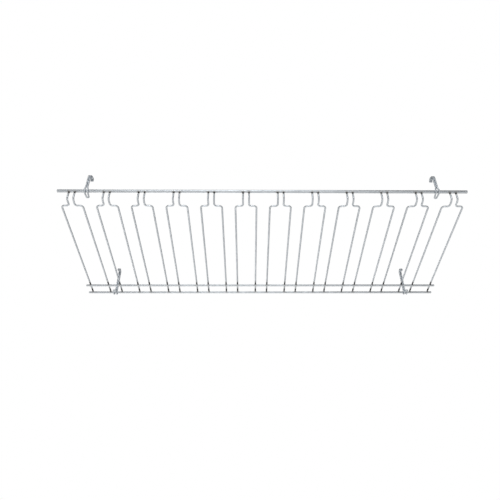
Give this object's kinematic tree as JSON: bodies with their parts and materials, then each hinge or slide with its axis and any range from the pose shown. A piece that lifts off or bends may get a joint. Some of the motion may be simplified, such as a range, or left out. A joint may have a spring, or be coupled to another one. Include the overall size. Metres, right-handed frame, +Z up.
{
  "type": "hanging wire rack",
  "caption": "Flat rack of bent plated wires in pairs under a raised front rail, hung by open hooks that swing on its rails.",
  "frame": {"origin": "middle of the four hooks' seats, the inner tops of their upper bends, from which the rack hangs", "axes": "+X along the rails, +Y from the front rail to the back rails, +Z up towards what the hooks hang on"},
  "size_m": [1.2, 0.4692, 0.1101],
  "materials": {
    "rails": "bright plated round bar",
    "wires": "bright plated wire",
    "hooks": "bright plated round bar, a little duller"
  },
  "bodies": {
    "rack": {"front_rail": "rails", "inner_rail": "rails", "end_rail": "rails", "wire_01_left": "wires", "wire_01_right": "wires", "wire_02_left": "wires", "wire_02_right": "wires", "wire_03_left": "wires", "wire_03_right": "wires", "wire_04_left": "wires", "wire_04_right": "wires", "wire_05_left": "wires", "wire_05_right": "wires", "wire_06_left": "wires", "wire_06_right": "wires", "wire_07_left": "wires", "wire_07_right": "wires", "wire_08_left": "wires", "wire_08_right": "wires", "wire_09_left": "wires", "wire_09_right": "wires", "wire_10_left": "wires", "wire_10_right": "wires", "wire_11_left": "wires", "wire_11_right": "wires", "wire_12_left": "wires", "wire_12_right": "wires"},
    "front_hook_left": {"front_hook_left": "hooks"},
    "front_hook_right": {"front_hook_right": "hooks"},
    "rear_hook_left": {"rear_hook_left": "hooks"},
    "rear_hook_right": {"rear_hook_right": "hooks"}
  },
  "joints": [
    {"name": "front_hook_left_swing", "type": "hinge", "parent": "rack", "child": "front_hook_left", "pos_m": [-0.5145, -0.226, -0.0592], "axis": [1, 0, 0], "range_deg": [-90, 90]},
    {"name": "front_hook_right_swing", "type": "hinge", "parent": "rack", "child": "front_hook_right", "pos_m": [0.51, -0.226, -0.0592], "axis": [1, 0, 0], "range_deg": [-90, 90]},
    {"name": "rear_hook_left_swing", "type": "hinge", "parent": "rack", "child": "rear_hook_left", "pos_m": [-0.508, 0.226, -0.09755], "axis": [1, 0, 0], "range_deg": [-90, 90]},
    {"name": "rear_hook_right_swing", "type": "hinge", "parent": "rack", "child": "rear_hook_right", "pos_m": [0.508, 0.226, -0.09755], "axis": [1, 0, 0], "range_deg": [-90, 90]}
  ]
}
